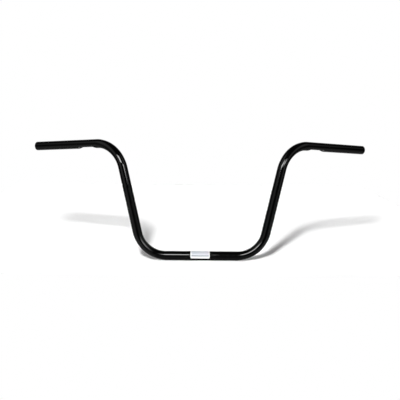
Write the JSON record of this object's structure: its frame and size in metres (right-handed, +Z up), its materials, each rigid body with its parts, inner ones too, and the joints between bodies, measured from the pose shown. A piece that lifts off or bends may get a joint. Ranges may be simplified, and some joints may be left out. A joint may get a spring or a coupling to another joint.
{
  "type": "motorcycle handlebar",
  "caption": "Black bent-tube cruiser handlebar with a straight clamp section, tall splayed risers and swept-back grips, each dimpled underneath for switch wiring, and open tube ends.",
  "frame": {"origin": "on the tube's axis at the middle of the clamp section, where the risers hold the bar", "axes": "+X along the clamp section to the rider's left, +Y back towards the rider, +Z up the risers"},
  "size_m": [0.9688, 0.1766, 0.3307],
  "materials": {
    "black_powder_coat": "gloss",
    "label_vinyl": "satin"
  },
  "bodies": {
    "root": {"handlebar_tube": "black_powder_coat", "centre_label": "label_vinyl"}
  },
  "joints": []
}
